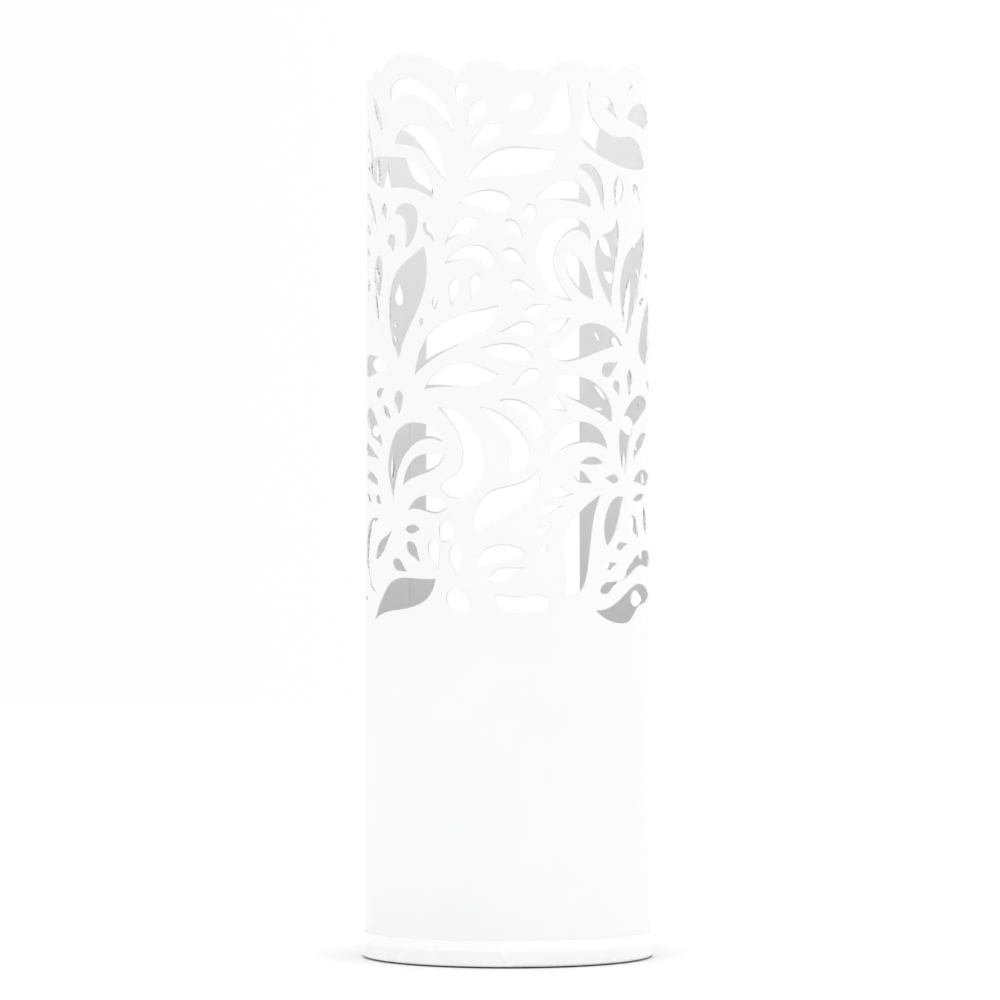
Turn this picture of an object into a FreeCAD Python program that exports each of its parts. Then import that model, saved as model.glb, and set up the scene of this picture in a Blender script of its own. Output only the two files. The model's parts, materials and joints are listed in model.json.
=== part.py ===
import FreeCAD, Part
import math
import os
import re

import Sketcher

# Umbrella stand: a rolled sheet-steel wall with leaf-shaped cutouts, standing in a moulded base.
# Millimetres. The origin is on the floor under the middle of the wall, +Z is up, -Y is the front.

SIZES = {
    # wall
    "tube_diameter": 155.0,        # outside of the rolled wall
    "sheet_thickness": 1.0,
    "overall_height": 486.0,       # floor to the highest scallop of the rim
    "pattern_diameter": 155.0,     # tube that the cutouts are drawn for
    "pattern_height": 486.0,       # height that the cutouts are drawn for
    "seam_angle": -134.5,          # butt joint of the sheet, from the front centre line, degrees
    "weld_width": 3.0,
    "weld_rise": 0.7,
    "weld_start": 2.0,             # floor plate's flange to the lower end of the weld bead
    "weld_top": 322.0,             # upper end of the bead on the drawn pattern, below the first cutout
    # moulded base
    "skirt_overhang": 1.8,         # outside of the wall to the skirt's widest part
    "skirt_lip_overhang": 0.8,     # outside of the wall to the skirt's upper lip
    "skirt_height": 14.0,
    "skirt_straight": 8.5,         # height where the skirt starts to lean in
    "skirt_gap": 0.8,              # floor to the skirt's lower edge
    "skirt_land": 4.8,             # width of the skirt's lower edge
    "web_underside": 2.8,
    "web_thickness": 2.2,
    "wall_clearance": 0.15,        # skirt to the outside of the wall
    "rib_width": 1.6,
    "rib_depth": 1.4,
    "rib_start": 16.0,             # from the axis
    "rib_root": 0.5,               # how far a rib runs into what it joins
    "skirt_lower_round": 1.3,
    "skirt_shoulder_round": 6.0,
    "skirt_lip_round": 0.24,
    # steel floor plate
    "plate_thickness": 1.2,
    "flange_height": 17.0,
    "flange_clearance": 0.1,       # flange to the inside of the wall
    "plate_bend": 3.0,
    "flange_edge_round": 0.4,
    # fasteners
    "screw_circle": 80.0,
    "screw_diameter": 4.0,
    "screw_clearance": 0.25,
    "screw_head_diameter": 7.6,
    "screw_head_height": 1.8,
    "screw_length": 7.0,
    "nut_width": 9.0,
    "nut_height": 3.2,
    "nut_clearance": 0.1,
    "recess_width": 1.0,
    "recess_length": 4.2,
    "recess_depth": 1.1,
    "screw_head_round": 0.9,
    "screw_point_round": 0.5,
    # rubber pads
    "pad_inset": 8.5,              # skirt's lower edge to a pad's edge
    "pad_diameter": 16.0,
    "pad_chamfer_width": 0.6,
    "pad_chamfer_height": 0.8,
    # drip tray
    "tray_clearance": 2.0,         # tray's rim to the inside of the wall
    "tray_flare": 4.5,             # how much narrower the floor is than the rim, each side
    "tray_foot_inset": 5.0,        # edge of the floor to the outside of the foot ring
    "tray_roll_width": 1.2,        # how far the rolled rim stands out
    "tray_wall": 1.8,
    "tray_floor_rise": 4.8,        # plate to the underside of the tray's floor
    "tray_height": 30.0,           # plate to the tray's rim
    "tray_roll": 2.4,              # height of the rolled rim
    "tray_rib_height": 2.4,
    "tray_rib_width": 1.6,
    "tray_ring_radius": 34.0,
    "tray_hub_radius": 12.0,
    "tab_radius": 11.0,
    "tab_thickness": 2.2,
    "tab_drop": 3.0,               # rim to the top of a finger tab
    "tab_root": 0.9,               # how far a finger tab runs into the wall
    "tray_rib_inset": 3.0,         # wall to the end of a floor rib
    "tray_corner_round": 2.4,
    "tray_inner_round": 2.0,
    "tray_rim_round": 0.9,
    "tray_roll_round": 0.5,
}

SCREWS = 4
PADS = 4
BASE_RIBS = 8
TRAY_RIBS = 12
FRONT_ANGLE = -90.0                # the front centre line faces -Y
CUT_REACH = 6.0                    # how far a cutting prism runs past each face of the wall
RIM_REACH = 30.0                   # how far a rim prism runs up past the highest scallop
ROOT = 0.2                         # how far a rib on a face runs into it
THROUGH = 1.0                      # how far a hole's pocket runs past the piece


# ---------------------------------------------------------------- outlines of the cutouts
# A point is (distance round the wall from the front centre line, height above the floor).
# A closed outline is a list of curves, each a list of points, that meet at sharp corners.

def between(start, end, along, aside):
    """The point a share along start-end, and aside to the left of it."""
    run = (end[0] - start[0], end[1] - start[1])
    length = math.hypot(run[0], run[1])
    left = (-run[1] / length, run[0] / length)
    return (start[0] + run[0] * along + left[0] * aside,
            start[1] + run[1] * along + left[1] * aside)


def drop(tip, head, width):
    """A drop: pointed at tip, round at head."""
    half = width / 2
    left = [between(tip, head, 0.36, 0.62 * half), between(tip, head, 0.76, half)]
    right = [between(tip, head, 0.76, -half), between(tip, head, 0.36, -0.62 * half)]
    return [[tip] + left + [head] + right + [tip]]


def leaf(stem, tip, left_bulge, right_bulge):
    """A leaf with two pointed ends; a bulge is measured out from the line between them."""
    left = [between(stem, tip, share, left_bulge * 4 * share * (1 - share)) for share in (0.22, 0.5, 0.78)]
    right = [between(stem, tip, share, -right_bulge * 4 * share * (1 - share)) for share in (0.78, 0.5, 0.22)]
    return [[stem] + left + [tip], [tip] + right + [stem]]


def blade(stem, one_side, tip, other_side):
    """A free leaf or crescent: points along one side, and back along the other."""
    return [[stem] + one_side + [tip], [tip] + other_side + [stem]]


def comma(tip, around):
    """A free drop: one corner at the tip and a smooth line round the rest."""
    return [[tip] + around + [tip]]


FRONT_TOP = [
    drop((-28, 455), (-23, 466.3), 7.4),
    drop((-22.8, 443), (-12.4, 456), 8.2),
    comma((-20.5, 431.3), [(-15, 440.5), (-9, 444), (-3.5, 442.5), (-5, 437.5), (-12, 433.5)]),
    blade((-21.8, 414), [(-14, 424.5), (-3, 431), (8, 431.8)], (27, 430.2),
          [(22, 421), (10, 416.8), (-6, 416)]),
    drop((-1.5, 450.5), (13.6, 459.2), 9.4),
    blade((10, 439.6), [(20, 447.5), (25.2, 457.5)], (33, 468.5), [(35, 455), (34.6, 444), (27, 439.2)]),
    blade((-27, 402), [(-19, 407), (-8, 408.8), (0.8, 405)], (-1, 396.2), [(-9, 397.8), (-18, 400.6)]),
    comma((-34.8, 380), [(-30, 389), (-22, 394.6), (-15.5, 392), (-18.5, 387.8), (-28, 384.4)]),
    blade((-35, 370), [(-26, 377.6), (-17, 379.6), (-10, 377)], (-7, 371),
          [(-10.5, 366.8), (-15, 371), (-24, 372)]),
    drop((9, 383), (-0.8, 392.6), 6.0),
    drop((14.2, 389.6), (11.2, 401.4), 6.0),
    drop((10.5, 369), (-2, 376.6), 6.8),
    drop((14.8, 355.4), (1.8, 359.4), 5.4),
    drop((-31, 347), (-28, 362), 6.0),
    drop((-19.6, 350.4), (-16.2, 364.4), 5.6),
    drop((23.4, 348.2), (9.6, 342.8), 6.0),
    blade((46.5, 382.5), [(44.5, 391.3), (36, 394.8), (25, 392.8), (17, 384), (15.2, 373), (19, 360)],
          (35.5, 350.3), [(28.5, 360), (24.8, 371), (28.5, 382), (38.5, 388.3)]),
    blade((49.2, 352), [(46.6, 362), (42, 371)], (33.6, 377), [(31.4, 370), (36, 360), (42, 354.4)]),
    blade((14.5, 404.6), [(20, 409.2), (30, 414.8), (40, 412.8)], (47, 401), [(36, 403.4), (24, 404)]),
    blade((38.5, 421.6), [(45, 424.5), (51.5, 421.3), (55.5, 413)], (56.4, 400), [(53, 407), (49, 415)]),
    drop((41.2, 462.8), (46.6, 467.8), 3.4),
    blade((46.4, 459), [(48.6, 450), (57, 443), (70, 441.6), (82, 443.1), (92, 439)], (99.5, 428.5),
          [(88, 426), (66, 426), (50, 430.8), (41.4, 437), (40.8, 447)]),
    drop((67.2, 450.4), (56.4, 461.8), 5.4),
    leaf((73.5, 467.4), (82.6, 471.9), 1.2, 1.2),
    blade((75.5, 452.4), [(82, 459.3), (92, 463.2), (102, 462.8)], (113, 456.5), [(103, 450.8), (89, 450.5)]),
    comma((65.2, 402.8), [(70.3, 408), (72.4, 415), (68.3, 420.2), (64.2, 416), (64.2, 409)]),
    drop((93, 409.3), (82.6, 417.2), 6.4),
    blade((66.3, 397.3), [(68, 387), (66, 376), (63.3, 362)], (62, 348.8),
          [(54.6, 359), (50, 372), (53.6, 386), (60.6, 389.5)]),
    blade((97.6, 397), [(98.6, 386), (93.6, 369), (84, 350)], (76.4, 333.8),
          [(70.6, 347), (70, 367), (78.6, 381.4), (90.5, 388.4)]),
    drop((99, 357.6), (90.4, 353.6), 3.0),
    leaf((101, 369.2), (107.5, 371), 1.2, 1.2),
]

FRONT_LEFT_TOP = [
    blade((-73, 461.5), [(-72.6, 469.6), (-65, 472.6), (-54, 470.4), (-42, 462), (-33, 451)], (-29.4, 439.6),
          [(-37, 450), (-47, 458.5), (-58, 463), (-67, 462.6)]),
    blade((-70, 438), [(-62, 445.8), (-50, 445.3), (-40, 436.2), (-35.6, 424)], (-34, 414.3),
          [(-42, 422.5), (-51, 432.6), (-61, 436)]),
    blade((-107, 431), [(-90, 433.6), (-74, 431.5), (-58, 428), (-46, 418)], (-40.4, 403.3),
          [(-48, 408.5), (-58, 412.4), (-76, 414.6), (-93, 419)]),
    leaf((-95.4, 467.4), (-81.8, 444.5), 3.6, 1.8),
    blade((-116, 449), [(-107, 451.4), (-99, 444)], (-95.6, 434.2), [(-103.6, 434), (-109, 441)]),
    drop((-79, 395.3), (-80.2, 407), 5.0),
    blade((-121, 417.4), [(-108, 416.6), (-97, 409.6)], (-90, 391.3), [(-97, 400), (-107, 408.6)]),
    leaf((-125, 403), (-98.4, 392.4), 2.8, 2.8),
    leaf((-125, 388.4), (-100.6, 381.4), 2.6, 2.6),
    drop((-104, 355), (-105, 369), 6.0),
    blade((-69.5, 399.6), [(-62, 404.7), (-54, 402.4), (-52, 392)], (-61, 380.5),
          [(-60.4, 390), (-63.4, 397.2)]),
    drop((-40.3, 381.8), (-47.6, 393.2), 4.6),
    blade((-47.6, 380.8), [(-58, 375), (-70, 366), (-74.8, 350), (-72.2, 333)], (-66, 319.6),
          [(-60, 334), (-50, 350), (-45.6, 366)]),
    drop((-71, 377.8), (-73, 389.4), 7.0),
    comma((-85, 356), [(-91.4, 364), (-92.6, 373), (-86, 379.6), (-82, 373), (-83, 364)]),
    leaf((-91, 361.5), (-86, 342), 1.6, 1.6),
    drop((-40.4, 344.8), (-40.6, 352.8), 3.2),
    drop((-49.7, 336.6), (-48.8, 342.4), 2.4),
    blade((-124, 318), [(-112, 326), (-99, 326.6), (-86, 323.4)], (-76.4, 317), [(-92, 315.4), (-109, 314.8)]),
]

FRONT_MIDDLE = [
    blade((-53.6, 311.8), [(-51, 322.5), (-43, 334.4), (-30, 341.2)], (-4.8, 347.4),
          [(-9, 337), (-22, 329), (-38, 321.6)]),
    drop((34.4, 341.7), (21.8, 333.8), 6.4),
    drop((-4.6, 333.4), (15, 335.4), 8.0),
    blade((-14.8, 324.6), [(-4, 327.2), (6, 326.2)], (13.8, 319.4), [(8, 317.3), (-1, 318)]),
    blade((-47.3, 303.8), [(-39, 313), (-28, 317.4), (-15, 315.4)], (-4.7, 310.6), [(-14, 305.8), (-30, 304.6)]),
    drop((1.8, 304.8), (17.4, 312.4), 7.6),
    blade((26, 311.6), [(38, 310.8), (50, 307.4), (59, 300)], (61.8, 286.8),
          [(51, 292.2), (38, 297), (28.6, 302.4)]),
    drop((32.6, 291.2), (22.2, 298.4), 6.2),
    blade((-4.5, 297), [(5, 297.4), (13.6, 293), (19, 286)], (18.4, 278.6), [(14.2, 277), (11, 285), (4, 291.8)]),
    blade((-15.2, 294), [(-6, 291.2), (5, 283), (11.4, 271), (9.5, 262)], (2.5, 258.8),
          [(0.2, 262), (1.4, 271), (-5, 283)]),
    blade((-38.2, 294), [(-29, 291.5), (-18.5, 283), (-12.8, 270), (-13.4, 256), (-22, 246.6)], (-33, 247),
          [(-36.8, 252.4), (-27.6, 259), (-24.6, 273), (-31, 286)]),
    blade((20, 325.6), [(30, 328.2), (41, 337.6), (56, 338.6)], (71.4, 329), [(56, 325.4), (41, 319.9), (30, 318)]),
    drop((67.2, 319.8), (54.8, 312.8), 7.6),
    drop((68.8, 301.4), (64.3, 309.7), 5.2),
    drop((78, 301.4), (78, 316.4), 5.0),
    blade((23.6, 267), [(24.4, 276.4), (33, 284.8), (46, 286)], (58.5, 273), [(48, 275.6), (35, 273.8)]),
    leaf((40.2, 264.4), (55.6, 265), 3.6, 0.8),
    drop((47.9, 253.8), (36.8, 259), 6.2),
    drop((56, 257.3), (67.2, 256.8), 4.6),
    blade((73, 259.2), [(69.2, 268), (68, 280), (74, 293.6), (86, 302.6)], (105, 300.5),
          [(96, 293.6), (84, 286.5), (77.6, 276), (75.8, 267)]),
    blade((82.4, 265.8), [(83.4, 274), (90, 281.6)], (102, 283.6), [(95, 276), (87, 271)]),
    blade((82.4, 256.4), [(88, 261.6), (99, 264)], (113, 261), [(104, 255.6), (92, 255.8)]),
    blade((89, 328), [(92.6, 339), (99, 349), (108, 355.6)], (122, 358), [(120, 340), (112, 325.5), (99, 321.3)]),
    leaf((104, 312), (122, 309), 2.4, 2.4),
]

FRONT_LEFT_MIDDLE = [
    drop((-79.6, 307), (-88.6, 303), 5.2),
    drop((-65.6, 290.4), (-66.2, 304.4), 7.0),
    leaf((-80.8, 298), (-73.2, 289.7), 2.1, 1.9),
    blade((-112, 293.5), [(-101, 298), (-90, 291)], (-81.5, 274.4),
          [(-88, 278), (-98, 281.8), (-105, 287.6)]),
    blade((-122, 277), [(-109, 279.4), (-97, 275.4)], (-85, 268.3), [(-97, 270.6), (-110, 272.3)]),
    blade((-110.5, 260.6), [(-100, 263), (-91, 260)], (-83.8, 253.6), [(-92, 255.8), (-101, 257.8)]),
    leaf((-110, 252.6), (-97, 246.4), 1.2, 2.2),
    drop((-82.6, 243.8), (-89, 249.2), 4.4),
    blade((-70, 245.4), [(-74.2, 257), (-74, 272), (-66, 283.8), (-52, 286.7), (-40, 281.8)], (-35.2, 275),
          [(-49, 277), (-60, 270.4), (-67.6, 258)]),
    blade((-62, 253.3), [(-59.4, 262), (-52, 268.6), (-43, 269.6)], (-34.4, 269.2), [(-40, 261.8), (-50, 258.4)]),
    blade((-58.4, 240), [(-51, 246.6), (-42, 247.2)], (-32.8, 241), [(-40, 237.8), (-49, 239.8)]),
]

FRONT_BOTTOM = [
    blade((-17, 226.8), [(-17, 240), (-9, 249), (2, 252.2)], (15.8, 260.3), [(15.4, 249), (7, 241), (-6, 233.6)]),
    drop((24, 231.2), (15, 226.8), 4.8),
    drop((16.4, 215.2), (20.8, 221.4), 3.8),
    drop((36.2, 248), (22.8, 248.8), 5.8),
    drop((30, 241.8), (18.4, 239.2), 4.6),
    blade((-17.3, 208.3), [(-11, 219), (0, 221)], (9.8, 217), [(1, 212.4), (-9, 210.8)]),
    drop((8.8, 209.2), (-9.6, 202.6), 7.0),
    comma((21, 186), [(21.8, 191.5), (16, 194.6), (5, 193.5), (-7, 193.5), (-5, 188.8), (7, 185)]),
    comma((-21, 186.3), [(-30, 187), (-33.4, 193.6), (-29.4, 198.2), (-24, 195.6)]),
    drop((-26.6, 203.6), (-28.8, 221), 7.2),
    comma((-37.4, 231.8), [(-31, 232), (-28.8, 227), (-32, 223)]),
    drop((-37.9, 207.2), (-42.4, 224), 7.0),
    blade((-91.5, 181.6), [(-82, 194), (-70, 203.2), (-54, 203.9)], (-39.8, 203.4),
          [(-47, 191.6), (-60, 187.8), (-77, 186.2)]),
    leaf((-60.8, 230), (-50, 230), 2.4, 2.4),
    drop((-49.3, 211.6), (-58.6, 223.4), 6.0),
    drop((-58.6, 207), (-70.4, 213.6), 6.0),
    drop((-70.4, 230.8), (-89.8, 215.4), 6.4),
    blade((-86, 236.4), [(-96, 237.2), (-106.5, 231), (-110.5, 218), (-104, 204.6)], (-88.4, 197.4),
          [(-98.6, 204.4), (-103, 216), (-98.6, 229)]),
    leaf((-121, 197), (-106, 193.4), 1.4, 1.4),
    blade((53.8, 248.2), [(38, 236.6), (29.4, 221), (31.6, 201)], (30.4, 193.6),
          [(40, 196.2), (45.6, 212), (48, 230)]),
    blade((72, 247.6), [(64, 246.6), (57.6, 238), (56.4, 226)], (58.8, 220.6), [(65, 228.6), (69, 240)]),
    drop((75.8, 223.2), (65.8, 220.4), 3.8),
    drop((66.2, 212.4), (56.6, 209.4), 3.8),
    drop((67.2, 202.9), (53.4, 196.6), 5.4),
    blade((50, 186.8), [(61, 188.8), (72, 195), (84, 201), (96, 201.4)], (111, 196.5),
          [(101, 191.8), (89, 189), (80, 182), (68, 180), (57, 182.4)]),
    blade((68, 202.3), [(78, 211.4), (88, 217.6), (100, 220.3)], (120, 217), [(106, 211), (91, 211.6), (80, 206.8)]),
    drop((88.8, 225.8), (79, 238), 7.2),
    leaf((81.4, 246.4), (97.8, 250.2), 2.0, 1.8),
    leaf((97, 244.4), (101, 228), 3.0, 2.8),
]

# Cutouts of the two flanks, behind the silhouette seen from the front.
RIGHT_FLANK = [
    drop((174.6, 386.6), (186, 402.4), 6.4),
    drop((184, 382.4), (173.4, 375.4), 6.0),
    leaf((157, 377), (162.4, 344), 5.2, 1.6),
    drop((157, 397.6), (150.4, 392), 4.6),
    drop((150.6, 381.8), (145.8, 374.4), 4.2),
    leaf((190, 317.6), (180.4, 308), 1.5, 1.5),
    leaf((183, 303.4), (190.4, 303.9), 1.0, 1.0),
    blade((170, 294), [(164, 298.3), (157.4, 296.6)], (153.6, 292), [(160, 287.2), (165, 289.6)]),
    leaf((165, 279.2), (165.4, 264.2), 1.6, 2.2),
    leaf((146, 309), (145, 299), 1.6, 1.8),
    drop((168, 338), (176.4, 342.6), 5.0),
    drop((147, 277.4), (153.8, 280.8), 2.6),
    drop((133.6, 258.8), (143.4, 263), 6.6),
    drop((154, 231.8), (158, 241.6), 6.4),
    leaf((140.4, 236), (144.8, 236), 1.3, 1.3),
    drop((149.4, 221), (140.2, 218), 5.4),
    blade((141, 194), [(149, 199.3), (155, 199.4)], (158, 194.6), [(153, 190.8), (147, 191.4)]),
    leaf((190, 348), (185.4, 342), 1.2, 1.2),
    leaf((169, 436), (168, 412), 4.2, 4.2),
    leaf((149, 429), (147.6, 413), 4.6, 4.0),
    blade((122, 446), [(127, 440), (130, 430)], (129, 417), [(123.6, 426), (121, 436)]),
    drop((136, 408), (127, 398), 7.0),
    leaf((121, 392), (131, 374), 2.6, 3.0),
    drop((136, 372), (143, 360), 5.6),
    leaf((150, 341), (164, 328), 2.4, 3.0),
    drop((128, 326), (137, 314), 6.0),
    leaf((118, 248), (131, 228), 3.2, 2.6),
    drop((170, 262), (158, 250), 6.4),
    leaf((176, 222), (188, 206), 2.6, 3.2),
    drop((172, 203), (162, 213), 5.6),
    leaf((126, 206), (138, 200), 1.8, 2.2),
]

LEFT_FLANK = [
    leaf((-162, 324.6), (-138, 325), 5.0, 3.8),
    leaf((-154, 288.6), (-137, 287.6), 3.8, 3.2),
    drop((-147.6, 239.6), (-136, 233), 5.0),
    leaf((-166, 277.6), (-165, 261), 1.6, 1.8),
    drop((-154, 257), (-147.6, 261.2), 4.0),
    drop((-133.6, 248), (-126.4, 250.2), 3.4),
    leaf((-171.6, 330), (-166.8, 331.6), 1.0, 1.0),
    leaf((-170.4, 340.4), (-166.4, 344.6), 1.3, 1.3),
    leaf((-170.6, 349.2), (-166.4, 350.6), 1.0, 1.0),
    leaf((-148, 442), (-147.6, 424), 2.6, 2.6),
    drop((-160.4, 441), (-159.8, 416), 9.0),
    drop((-172.6, 375.4), (-171.4, 361.4), 7.6),
    leaf((-136, 462), (-150, 452), 2.6, 3.2),
    leaf((-134, 440), (-137, 418), 2.8, 2.4),
    drop((-132, 408), (-144, 400), 7.4),
    drop((-162, 404), (-152, 394), 6.6),
    leaf((-140, 386), (-152, 370), 3.0, 2.4),
    drop((-128, 372), (-134, 360), 6.0),
    leaf((-142, 356), (-126, 342), 2.8, 2.8),
    drop((-143, 312), (-128, 304), 6.6),
    leaf((-158, 312), (-168, 300), 2.0, 2.6),
    drop((-152, 222), (-162, 214), 6.0),
    leaf((-128, 224), (-140, 210), 2.6, 2.6),
    drop((-136, 198), (-124, 190), 6.0),
]

# The rim is a row of scallops. Each entry is a scallop's left end, its crown and nothing else:
# it ends where the next one starts.
SCALLOPS = [
    ((-84, 479.5), (-66, 486.0)),
    ((-28.5, 470.5), (-14, 478.4)),
    ((2, 470.5), (11, 472.8)),
    ((20, 470.5), (34, 479.0)),
    ((46, 476.4), (55, 478.4)),
    ((64, 475.0), (86, 483.6)),
    ((106, 478.0), (122, 483.0)),
    ((138, 475.5), (149, 480.0)),
    ((160, 474.0), (172, 480.0)),
    ((188.5, 450.5), (207, 462.6)),
    ((220, 460.8), (230, 463.2)),
    ((239, 460.6), (247, 461.8)),
    ((262, 451.0), (268.5, 453.0)),
    ((275, 452.0), (280, 458.0)),
    ((284, 461.0), (303, 481.0)),
    ((322, 475.5), (334, 480.0)),
    ((346, 474.5), (366, 483.0)),
    ((386, 477.0), (395, 481.4)),
]

# The back repeats the front, mirrored and a little larger, so that from some steps in front of the
# stand its middle openings line up with the front ones.
BACK_GROWTH = 1.088
BACK_GROWTH_HEIGHT = 152.0         # height that stays put
BACK_TOP = 458.0                   # no repeated cutout reaches above this
BACK_LEFT = -46.5                  # the repeated cutouts end at these two upright lines
BACK_RIGHT = 41.2

# Wider cutouts under the back's rim. They are drawn on the front as well, and carried to the back.
BACK_WIDE = [
    blade((-63.3, 437), [(-61, 444.6), (-50, 446), (-40, 437), (-34.5, 424)], (-33, 413),
          [(-42, 421.6), (-51, 432)]),
    blade((-62.6, 426.6), [(-58, 429), (-50, 423.4), (-44, 414)], (-39.6, 402),
          [(-46, 408.4), (-53, 411.4), (-57.6, 418.6)]),
]


def all_points(outline):
    return [point for curve in outline for point in curve]


def to_back(point, radius):
    """The point behind a front point, mirrored and grown."""
    aside = BACK_GROWTH * radius * math.sin(point[0] / radius)
    height = BACK_GROWTH_HEIGHT + BACK_GROWTH * (point[1] - BACK_GROWTH_HEIGHT)
    return (math.pi * radius - radius * math.asin(aside / radius), height)


def back_outlines(radius):
    """The front cutouts near the centre line, repeated on the back."""
    repeated = []
    reach = radius / BACK_GROWTH
    for outline in FRONT_TOP + FRONT_LEFT_TOP + FRONT_MIDDLE + FRONT_LEFT_MIDDLE + FRONT_BOTTOM:
        points = all_points(outline)
        asides = [radius * math.sin(point[0] / radius) for point in points]
        if max(asides) > reach * 0.99 or min(asides) < -reach * 0.99:
            continue
        copy = [[to_back(point, radius) for point in curve] for curve in outline]
        if min(asides) * BACK_GROWTH < BACK_RIGHT and max(asides) * BACK_GROWTH > BACK_LEFT:
            if max(point[1] for point in all_points(copy)) < BACK_TOP:
                repeated.append(copy)
    return repeated


def back_wide_outlines(radius):
    return [[[to_back(point, radius) for point in curve] for curve in outline] for outline in BACK_WIDE]


# ---------------------------------------------------------------- document
doc = FreeCAD.newDocument("umbrella_stand")
dims = doc.addObject("Spreadsheet::Sheet", "dims")
for row, (alias, number) in enumerate(SIZES.items(), start=1):
    dims.set("A%d" % row, alias)
    dims.set("B%d" % row, repr(number))
    dims.setAlias("B%d" % row, alias)
doc.recompute()

subparts = []


def bound(expression):
    """The same expression, with each size's name written as a cell of the sheet."""
    return re.sub(r"\b[a-z][a-z_]+\b", lambda word: "dims." + word.group(0)
                  if word.group(0) in SIZES else word.group(0), str(expression))


def size(expression):
    """The number that an expression of sizes comes to."""
    value = dims.evalExpression(bound(expression))
    return float(getattr(value, "Value", value))


def bind(thing, **expressions):
    """Ties properties of a document object to expressions of sizes."""
    for name, expression in expressions.items():
        thing.setExpression(name, bound(expression))


def new_body(label):
    body = doc.addObject("PartDesign::Body", label)
    body.Label = label
    subparts.append(body)
    return body


def new_sketch(body, name, role, height=None):
    """A sketch on one of the body's own origin planes, at a height along its normal."""
    sketch = body.newObject("Sketcher::SketchObject", name)
    plane = next(item for item in body.Origin.OriginFeatures if item.Role == role)
    sketch.AttachmentSupport = [(plane, "")]
    sketch.MapMode = "FlatFace"
    if height is not None:
        sketch.setExpression("AttachmentOffset.Base.z", bound(height))
    return sketch


def pin(sketch, kind, geometry, position, expression):
    """Holds one coordinate of a point to an expression, measured from the sketch's origin."""
    value = size(expression)
    if abs(value) < 1e-9:
        axis = -2 if kind == "DistanceX" else -1
        sketch.addConstraint(Sketcher.Constraint("PointOnObject", geometry, position, axis))
        return
    number = sketch.addConstraint(Sketcher.Constraint(kind, -1, 1, geometry, position, value))
    sketch.setExpression("Constraints[%d]" % number, bound(expression))


def polygon(sketch, corners):
    """A closed outline of straight lines with every corner tied to two expressions."""
    places = [FreeCAD.Vector(size(across), size(up), 0) for across, up in corners]
    first = sketch.GeometryCount
    for here, there in zip(places, places[1:] + places[:1]):
        sketch.addGeometry(Part.LineSegment(here, there))
    count = len(corners)
    for index, (across, up) in enumerate(corners):
        line = first + index
        sketch.addConstraint(Sketcher.Constraint("Coincident", line, 2, first + (index + 1) % count, 1))
        pin(sketch, "DistanceX", line, 1, across)
        pin(sketch, "DistanceY", line, 1, up)


def circle(sketch, across, up, diameter):
    """A circle whose centre and diameter are tied to expressions."""
    centre = FreeCAD.Vector(size(across), size(up), 0)
    index = sketch.addGeometry(Part.Circle(centre, FreeCAD.Vector(0, 0, 1), size(diameter) / 2))
    number = sketch.addConstraint(Sketcher.Constraint("Diameter", index, size(diameter)))
    sketch.setExpression("Constraints[%d]" % number, bound(diameter))
    pin(sketch, "DistanceX", index, 3, across)
    pin(sketch, "DistanceY", index, 3, up)


def revolve(body, name, corners):
    """A profile in the XZ plane turned about Z."""
    sketch = new_sketch(body, name + "_profile", "XZ_Plane")
    polygon(sketch, corners)
    turned = body.newObject("PartDesign::Revolution", name)
    turned.Profile = sketch
    turned.ReferenceAxis = (sketch, ["V_Axis"])
    turned.Angle = 360.0
    doc.recompute()
    return turned


def pad(body, name, sketch, length):
    solid = body.newObject("PartDesign::Pad", name)
    solid.Profile = sketch
    bind(solid, Length=length)
    doc.recompute()
    return solid


def pocket(body, name, sketch, depth, reversed_way=False):
    """A pocket that has to take material away."""
    before = body.Shape.Volume
    cut = body.newObject("PartDesign::Pocket", name)
    cut.Profile = sketch
    cut.Reversed = reversed_way
    bind(cut, Length=depth)
    doc.recompute()
    if body.Shape.Volume > before - 1e-6:
        raise RuntimeError("the pocket %s cuts nothing" % name)
    return cut


def around(body, name, feature, sketch, count):
    """The same feature repeated evenly about Z."""
    pattern = body.newObject("PartDesign::PolarPattern", name)
    pattern.Originals = [feature]
    pattern.Axis = (sketch, ["N_Axis"])
    pattern.Angle = 360.0
    pattern.Occurrences = count
    body.Tip = pattern
    doc.recompute()
    return pattern


def ring_edges(shape, radius, height):
    """Names of the circular edges of one radius at one height."""
    names = []
    for index, edge in enumerate(shape.Edges, start=1):
        box = edge.BoundBox
        flat = box.ZLength < 1e-6 and abs(box.ZMin - height) < 1e-4
        if flat and abs(box.XMax - radius) < 1e-4 and abs(box.XMin + radius) < 1e-4:
            names.append("Edge%d" % index)
    return names


def round_rings(body, name, radius, rings):
    """Fillets of one radius on circular edges, each given as (radius, height) expressions."""
    edges = []
    for ring_radius, height in rings:
        edges += ring_edges(body.Shape, size(ring_radius), size(height))
    if len(edges) != len(rings):
        raise RuntimeError("%s found %d of %d edges" % (name, len(edges), len(rings)))
    rounded = body.Tip
    fillet = body.newObject("PartDesign::Fillet", name)
    fillet.Base = (rounded, edges)
    bind(fillet, Radius=radius)
    doc.recompute()
    return fillet


def place(body, angle, radius_expression, height_expression):
    """Stands a body at an angle and radius about Z, turned to face outward."""
    turn = FreeCAD.Rotation(FreeCAD.Vector(0, 0, 1), angle)
    body.Placement = FreeCAD.Placement(FreeCAD.Vector(0, 0, 0), turn)
    cosine = repr(math.cos(math.radians(angle)))
    sine = repr(math.sin(math.radians(angle)))
    body.setExpression("Placement.Base.x", bound("(%s) * (%s)" % (radius_expression, cosine)))
    body.setExpression("Placement.Base.y", bound("(%s) * (%s)" % (radius_expression, sine)))
    body.setExpression("Placement.Base.z", bound(height_expression))


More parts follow.
